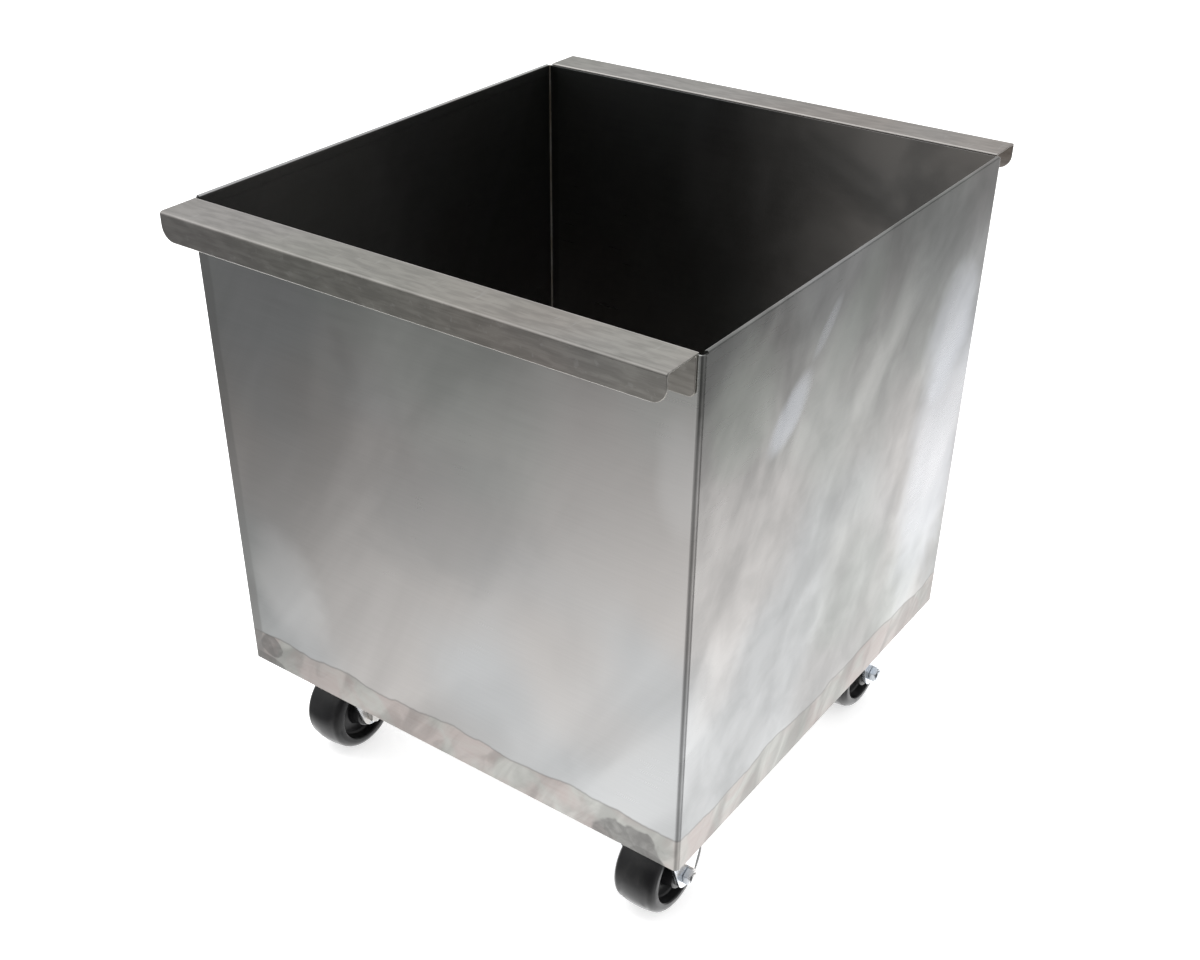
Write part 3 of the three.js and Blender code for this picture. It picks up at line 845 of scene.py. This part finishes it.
def wheel():
    """Crowned tread, round shoulders, a recess in each side and the hub."""
    half = WHEEL_WIDTH / 2
    edge = WHEEL_RADIUS - WHEEL_CROWN
    bore = SLEEVE_RADIUS + RUNNING_GAP
    side = rounded([
        (bore, 0, 0), (bore, HUB_HALF, HUB_ROUND), (HUB_RADIUS, HUB_HALF, MOULD_ROUND),
        (HUB_RADIUS + RIM_LEAN, WEB_HALF, 2 * MOULD_ROUND),
        (RIM_RADIUS - RIM_LEAN, WEB_HALF, 2 * MOULD_ROUND), (RIM_RADIUS, half, MOULD_ROUND),
        (edge, half, SHOULDER), (edge, 0, 0),
    ], 7)[1:-1]
    crown = []
    steps = 8
    start = half - SHOULDER
    for i in range(1, steps + 1):
        along = start * (1 - i / steps)
        crown.append((edge + WHEEL_CROWN * (1 - (along / start) ** 2), along))
    half_profile = [tuple(point) for point in side] + crown
    mirrored = [(radius, -along) for radius, along in half_profile[-2::-1]]
    tyre = turned(half_profile + mirrored, WHEEL_SEGMENTS, along_x, True)
    return moved(tyre, z=AXLE_Z)


def hexagonal(across, low, high):
    """Hexagon bar whose upper corners are turned off by a 30 degree chamfer."""
    flat = across / 2
    round_top = flat * HEX_TOP
    rings = [[], [], []]
    for i in range(HEX_SEGMENTS):
        angle = 2 * math.pi * i / HEX_SEGMENTS
        from_flat = (angle % (math.pi / 3)) - math.pi / 6
        radius = flat / math.cos(from_flat)
        fall = (radius - round_top) * math.tan(HEX_CHAMFER)
        ring_places = ((radius, low), (radius, high - fall), (round_top, high))
        for ring, (r, z) in zip(rings, ring_places):
            ring.append((r * math.cos(angle), r * math.sin(angle), z))
    return skinned(rings, False)


def threaded(radius, low, high):
    """Thread end from low up to high, with a chamfered tip at high."""
    turns = max(2, round((high - low) / THREAD_PITCH))
    pitch = (high - low) / turns
    profile = [(0, low), (radius, low)]
    for i in range(turns):
        base = low + i * pitch
        profile += [(radius, base + 0.2 * pitch), (radius - THREAD_DEPTH, base + 0.6 * pitch)]
    profile += [(radius - THREAD_DEPTH, high), (0, high)]
    return turned(profile, SHANK_SEGMENTS)


def shank(radius, low, high, segments=SHANK_SEGMENTS):
    return turned([(0, low), (radius, low), (radius, high), (0, high)], segments)


def flipped(bm, about):
    """Upside down about a height, turned half round X."""
    over = Matrix.Rotation(math.pi, 3, "X")
    bmesh.ops.rotate(bm, verts=bm.verts, cent=(0, 0, about), matrix=over)
    return bm


def laid_across(bm, side):
    """Something made along +Z, laid along X through the axle, towards side."""
    turn = Matrix.Rotation(side * math.pi / 2, 3, "Y")
    bmesh.ops.rotate(bm, verts=bm.verts, cent=(0, 0, 0), matrix=turn)
    return moved(bm, z=AXLE_Z)


def mount_bolt():
    seat = bolt_high.z - MOUNT_HEAD
    head = hexagonal(MOUNT_HEX, seat, bolt_high.z)
    thread = threaded(MOUNT_RADIUS, bolt_low.z, nut_high.z)
    thread = flipped(thread, (bolt_low.z + nut_high.z) / 2)
    return merged(head, shank(MOUNT_RADIUS, nut_high.z, seat), thread)


def bored(nut, radius, low, high):
    """A nut between two heights, with its hole."""
    hole = shank(radius, low - BORE_PAST, high + BORE_PAST, BORE_SEGMENTS)
    return carved(nut, hole, "DIFFERENCE")


def mount_nut():
    low, high = nut_low.z, nut_high.z
    nut = flipped(hexagonal(MOUNT_HEX, low, high), (low + high) / 2)
    return bored(nut, MOUNT_RADIUS + GAP, low, high)


def axle_bolt():
    seat = -LEG_OUTER_X - GAP
    reach = max(axle_bolt_high.x - CASTER_X, CASTER_X - axle_bolt_low.x)
    nut_seat = LEG_OUTER_X + GAP
    head = flipped(hexagonal(AXLE_HEX, seat - AXLE_HEAD, seat), seat - AXLE_HEAD / 2)
    return merged(head, shank(AXLE_RADIUS, seat, nut_seat),
                  threaded(AXLE_RADIUS, nut_seat, reach))


def axle_nut():
    low = LEG_OUTER_X + GAP
    high = low + (axle_nut_high.x - axle_nut_low.x)
    return bored(hexagonal(AXLE_HEX, low, high), AXLE_RADIUS + GAP, low, high)


def axle_sleeve():
    bore = AXLE_RADIUS + GAP
    profile = rounded([
        (bore, -SLEEVE_HALF, EDGE), (SLEEVE_RADIUS, -SLEEVE_HALF, 2 * EDGE),
        (SLEEVE_RADIUS, SLEEVE_HALF, 2 * EDGE), (bore, SLEEVE_HALF, EDGE)], 3)
    tube = turned([tuple(p) for p in profile], SLEEVE_SEGMENTS, along_x, True)
    return moved(tube, z=AXLE_Z)


# ---- repeated pieces --------------------------------------------------------
class Flow:
    """A Geometry Nodes tree with named inputs."""

    def __init__(self, name):
        self.tree = bpy.data.node_groups.new(name, "GeometryNodeTree")
        self.tree.interface.new_socket("Geometry", in_out="INPUT", socket_type="NodeSocketGeometry")
        self.tree.interface.new_socket("Geometry", in_out="OUTPUT", socket_type="NodeSocketGeometry")
        self.entry = self.tree.nodes.new("NodeGroupInput")
        self.exit = self.tree.nodes.new("NodeGroupOutput")
        self.given = {}

    def input(self, name, kind, value):
        socket = self.tree.interface.new_socket(
            name, in_out="INPUT", socket_type="NodeSocket" + kind)
        self.given[socket.identifier] = value
        return self.entry.outputs[name]

    def node(self, kind, settings, inputs, output=0):
        made = self.tree.nodes.new(kind)
        for name, value in settings.items():
            setattr(made, name, value)
        for key, value in inputs.items():
            if isinstance(value, bpy.types.NodeSocket):
                self.tree.links.new(value, made.inputs[key])
            else:
                made.inputs[key].default_value = value
        return made.outputs[output]

    def finish(self, geometry, material):
        real = self.node("GeometryNodeRealizeInstances", {}, {"Geometry": geometry})
        coated = self.node("GeometryNodeSetMaterial", {}, {"Geometry": real, "Material": material})
        self.tree.links.new(coated, self.exit.inputs[0])

    def run(self, host):
        """The mesh that the tree makes from a host object, which is removed."""
        modifier = host.modifiers.new("flow", "NODES")
        modifier.node_group = self.tree
        for identifier, value in self.given.items():
            modifier[identifier] = value
        return baked(host)


def at_every_bolt(shape, material, seed):
    """One mesh of a fastener at each mounting hole, each turned its own way."""
    flow = Flow("mounting_pattern")
    sizes = {"Caster Spacing X": 2 * CASTER_X, "Caster Spacing Y": 2 * CASTER_Y,
             "Bolt Spacing X": 2 * BOLT_X, "Bolt Spacing Y": 2 * BOLT_Y}
    spacing = {name: flow.input(name, "Float", value) for name, value in sizes.items()}
    fastener = flow.input("Fastener", "Object", shape)
    seed_input = flow.input("Seed", "Int", seed)
    coat = flow.input("Coat", "Material", material)

    def grid(across, along):
        return flow.node("GeometryNodeMeshGrid", {}, {
            "Size X": spacing[across], "Size Y": spacing[along], "Vertices X": 2, "Vertices Y": 2})

    single = flow.node("GeometryNodeObjectInfo", {}, {"Object": fastener}, "Geometry")
    turn = flow.node("FunctionNodeRandomValue", {"data_type": "FLOAT"},
                     {2: 0.0, 3: math.pi / 3, "Seed": seed_input}, 1)
    rotation = flow.node("ShaderNodeCombineXYZ", {}, {2: turn})
    pattern = grid("Caster Spacing X", "Caster Spacing Y")
    holes = flow.node("GeometryNodeInstanceOnPoints", {}, {
        "Points": pattern, "Instance": grid("Bolt Spacing X", "Bolt Spacing Y")})
    points = flow.node("GeometryNodeRealizeInstances", {}, {"Geometry": holes})
    placed = flow.node("GeometryNodeInstanceOnPoints", {}, {
        "Points": points, "Instance": single, "Rotation": rotation})
    flow.finish(placed, coat)
    host = bpy.data.objects.new("host", bpy.data.meshes.new("host"))
    bpy.context.scene.collection.objects.link(host)
    mesh = flow.run(host)
    drop(shape)
    return mesh


def bead_ripple():
    """One overlapping scale of a weld bead: a low dome about its own line."""
    rings = []
    for lift, share in BEAD_DOME:
        ring = []
        for i in range(BEAD_SEGMENTS):
            angle = 2 * math.pi * i / BEAD_SEGMENTS
            radius = BEAD_RADIUS * share
            ring.append((radius * math.cos(angle), radius * math.sin(angle), lift * BEAD_PITCH))
        rings.append(ring)
    return scratch(skinned(rings, False))


def weld_beads(seams, material, seed):
    """Rippled beads along straight seams, given as pairs of places."""
    mesh = bpy.data.meshes.new("seams")
    places = [place for seam in seams for place in seam]
    edges = [(2 * i, 2 * i + 1) for i in range(len(seams))]
    mesh.from_pydata(places, edges, [])
    host = bpy.data.objects.new("seams", mesh)
    bpy.context.scene.collection.objects.link(host)
    ripple = bead_ripple()
    flow = Flow("weld_bead_run")
    pitch = flow.input("Pitch", "Float", BEAD_PITCH)
    scale = flow.input("Ripple", "Object", ripple)
    seed_input = flow.input("Seed", "Int", seed)
    coat = flow.input("Coat", "Material", material)
    curve = flow.node("GeometryNodeMeshToCurve", {}, {"Mesh": flow.entry.outputs["Geometry"]})
    even = flow.node("GeometryNodeResampleCurve", {"mode": "LENGTH"}, {"Curve": curve, "Length": pitch})
    tangent = flow.node("GeometryNodeInputTangent", {}, {})
    facing = flow.node("FunctionNodeAlignRotationToVector", {"axis": "Z"}, {"Vector": tangent})
    uneven = flow.node("FunctionNodeRandomValue", {"data_type": "FLOAT"},
                       {2: BEAD_SIZES[0], 3: BEAD_SIZES[1], "Seed": seed_input}, 1)
    single = flow.node("GeometryNodeObjectInfo", {}, {"Object": scale}, "Geometry")
    placed = flow.node("GeometryNodeInstanceOnPoints", {}, {
        "Points": even, "Instance": single, "Rotation": facing, "Scale": uneven})
    flow.finish(placed, coat)
    made = flow.run(host)
    drop(ripple)
    return made


# ---- build ------------------------------------------------------------------
steel_of_walls = wall_steel()
steel_of_lips = lip_steel()
steel_of_pan = pan_steel()
steel_of_welds = weld_steel()
zinc_of_forks = zinc("fork_zinc", 0.92, 0.2)
zinc_of_bolts = zinc("fastener_zinc", 0.86, 0.24)
black_of_wheels = wheel_plastic()

piece("wall_wrap", body_wrap(), steel_of_walls, ["body_wrap"], edge=EDGE)
piece("left_panel", left_side_panel(), steel_of_walls, ["left_side_panel"])
piece("bottom_pan", floor_pan(), steel_of_pan, ["floor_pan"], edge=EDGE)
piece("carrying_lip_front", front_lip(), steel_of_lips,
      ["front_lip"], edge=2 * EDGE)
rear = front_lip()
bmesh.ops.rotate(rear, verts=rear.verts, cent=(0, 0, 0), matrix=Matrix.Rotation(math.pi, 3, "Z"))
piece("carrying_lip_rear", rear, steel_of_lips, ["rear_lip"], edge=2 * EDGE)

inner_x = -WALL_X + SHEET
inner_y = WALL_Y - SHEET
seam_top_z = WALL_TOP_Z - BEAD_RADIUS
upright_seams = [((inner_x, row * inner_y, PAN_TOP_Z), (inner_x, row * inner_y, seam_top_z))
                 for row in (-1, 1)]
piece("corner_welds", weld_beads(upright_seams, steel_of_welds, 3), steel_of_welds,
      [])

for label, x, y, side in caster_places():
    piece(f"fork_{label}", moved(caster_frame(), x, y), zinc_of_forks,
          [f"caster_frame_{label}"], edge=LEG_ROUND, steps=3)
    piece(f"hard_wheel_{label}", moved(wheel(), x, y), black_of_wheels,
          [f"wheel_{label}"], body=f"{label}_wheel")
    piece(f"sleeve_{label}", moved(axle_sleeve(), x, y), zinc_of_bolts,
          [f"axle_sleeve_{label}"])
    piece(f"axle_{label}", moved(laid_across(axle_bolt(), side), x, y), zinc_of_bolts,
          [f"axle_bolt_{label}"], edge=EDGE)
    piece(f"locknut_{label}", moved(laid_across(axle_nut(), side), x, y), zinc_of_bolts,
          [f"axle_nut_{label}"], edge=EDGE)

numbered = [f"{label}_{i}" for label in LABELS for i in (1, 2, 3, 4)]
piece("mounting_bolts", at_every_bolt(scratch(mount_bolt()), zinc_of_bolts, 5), zinc_of_bolts,
      [f"mount_bolt_{name}" for name in numbered], edge=EDGE)
piece("mounting_nuts", at_every_bolt(scratch(mount_nut()), zinc_of_bolts, 8), zinc_of_bolts,
      [f"mount_nut_{name}" for name in numbered], edge=EDGE)


# ---- studio -----------------------------------------------------------------
FLOOR_HALF = 12.0
FLOOR_GLOW = 0.75
PAPER_TONES = ((0.86, 0.86, 0.86), (0.9, 0.9, 0.9))
CAMERA_PLACE = (0.7906, -1.1308, 1.1499)
CAMERA_TURN = math.radians(36.819)
CAMERA_DIP = math.radians(33.434)
CAMERA_ROLL = math.radians(0.303)

# Glow of the surround, as (place along a direction, glow) stops.
FRONT_GLOW = ((-1.0, 1.7), (-0.56, 1.5), (-0.47, 1.12), (-0.42, 0.86), (-0.37, 0.5), (-0.3, 0.18),
              (-0.2, 0.1), (-0.03, 0.45), (0.4, 0.5))
REAR_GLOW = ((-1.0, 2.1), (-0.36, 1.9), (-0.24, 1.6), (-0.13, 1.15), (-0.07, 0.35), (0.0, 0.06),
             (0.1, 0.1), (0.25, 0.5), (0.4, 0.5))
UPPER_GLOW = ((-1.0, 0.45), (0.1, 0.45), (0.4, 0.9), (0.6, 1.3), (0.9, 0.6))


def pale_floor():
    bm = bmesh.new()
    signs = ((-1, -1), (1, -1), (1, 1), (-1, 1))
    bm.faces.new([bm.verts.new((x * FLOOR_HALF, y * FLOOR_HALF, 0)) for x, y in signs])
    floor = scratch(bm)
    floor.name = "studio_floor"
    finish = Finish("pale_floor", Roughness=0.9)
    soft = finish.noise(finish.place, 1.5, 2.0)
    pale = finish.mix(soft, *PAPER_TONES)
    floor.data.materials.append(finish.set(
        Base_Color=pale, Emission_Color=pale, Emission_Strength=FLOOR_GLOW))
    floor.visible_glossy = False


def ramp_of_glow(tree, value, low, high, stops):
    """Grey glow along a value, through (value, glow) stops."""
    share = tree.nodes.new("ShaderNodeMapRange")
    share.inputs["From Min"].default_value = low
    share.inputs["From Max"].default_value = high
    tree.links.new(value, share.inputs["Value"])
    ramp = tree.nodes.new("ShaderNodeValToRGB")
    elements = ramp.color_ramp.elements
    while len(elements) < len(stops):
        elements.new(1.0)
    for element, (place, glow) in zip(elements, stops):
        element.position = (place - low) / (high - low)
        element.color = (glow, glow, glow, 1)
    tree.links.new(share.outputs[0], ramp.inputs[0])
    return ramp.outputs[0]


def studio_world():
    """Soft surround: pale below, dim at the horizon, brighter above, dim behind the viewer."""
    world = bpy.data.worlds.new("studio")
    bpy.context.scene.world = world
    world.use_nodes = True
    tree = world.node_tree
    nodes, links = tree.nodes, tree.links
    direction = nodes.new("ShaderNodeTexCoord").outputs["Generated"]

    def towards(*axis):
        dot = nodes.new("ShaderNodeVectorMath")
        dot.operation = "DOT_PRODUCT"
        dot.inputs[1].default_value = axis
        links.new(direction, dot.inputs[0])
        return dot.outputs["Value"]

    def choice(factor, first, second):
        mix = nodes.new("ShaderNodeMix")
        mix.data_type = "RGBA"
        for socket, source in zip((mix.inputs[0], mix.inputs[6], mix.inputs[7]),
                                  (factor, first, second)):
            links.new(source, socket)
        return mix.outputs[2]

    def between(value, low, high, to_low=0.0, to_high=1.0):
        ease = nodes.new("ShaderNodeMapRange")
        ease.interpolation_type = "SMOOTHSTEP"
        numbers = {"From Min": low, "From Max": high, "To Min": to_low, "To Max": to_high}
        for name, number in numbers.items():
            ease.inputs[name].default_value = number
        links.new(value, ease.inputs["Value"])
        return ease.outputs[0]

    before = ramp_of_glow(tree, towards(-0.25, 0, 1), -1.0, 0.4, FRONT_GLOW)
    behind = ramp_of_glow(tree, towards(1.08, -0.12, 1), -1.0, 0.4, REAR_GLOW)
    above = ramp_of_glow(tree, towards(0, 0, 1), -1.0, 1.0, UPPER_GLOW)
    below = choice(between(towards(0, 1, 0), -0.15, 0.25), before, behind)
    glow = choice(between(towards(0, 0, 1), -0.2, 0.1), below, above)
    background = nodes["Background"]
    links.new(glow, background.inputs["Color"])
    links.new(between(towards(0.6, -0.8, 0), 0.35, 0.8, 1.0, 0.18), background.inputs["Strength"])
    seen = nodes.new("ShaderNodeBackground")
    seen.inputs["Color"].default_value = (1, 1, 1, 1)
    path = nodes.new("ShaderNodeLightPath")
    choose = nodes.new("ShaderNodeMixShader")
    links.new(path.outputs["Is Camera Ray"], choose.inputs[0])
    links.new(background.outputs[0], choose.inputs[1])
    links.new(seen.outputs[0], choose.inputs[2])
    links.new(choose.outputs[0], nodes["World Output"].inputs[0])


def softbox(name, place, target, width, height, power):
    light = bpy.data.lights.new(name, "AREA")
    light.shape = "RECTANGLE"
    light.size = width
    light.size_y = height
    light.energy = power
    obj = bpy.data.objects.new(name, light)
    obj.location = place
    aim = Vector(target) - Vector(place)
    obj.rotation_euler = aim.to_track_quat("-Z", "Y").to_euler()
    bpy.context.scene.collection.objects.link(obj)
    return obj


def camera():
    lens = bpy.data.cameras.new("camera")
    lens.sensor_width = 36.0
    lens.lens = 44.61
    lens.shift_x = 0.02995
    lens.shift_y = 0.05705
    lens.clip_end = 60.0
    obj = bpy.data.objects.new("camera", lens)
    facing = (Matrix.Rotation(CAMERA_TURN, 4, "Z")
              @ Matrix.Rotation(math.pi / 2 - CAMERA_DIP, 4, "X")
              @ Matrix.Rotation(-CAMERA_ROLL, 4, "Z"))
    obj.matrix_world = Matrix.Translation(CAMERA_PLACE) @ facing
    bpy.context.scene.collection.objects.link(obj)
    bpy.context.scene.camera = obj


pale_floor()
studio_world()
overhead = softbox("overhead", (-0.4, -0.1, 3.2), (0, 0, 0), width=3.0, height=3.0, power=110)
overhead.visible_glossy = False
camera()
bpy.context.scene.view_settings.view_transform = "Standard"
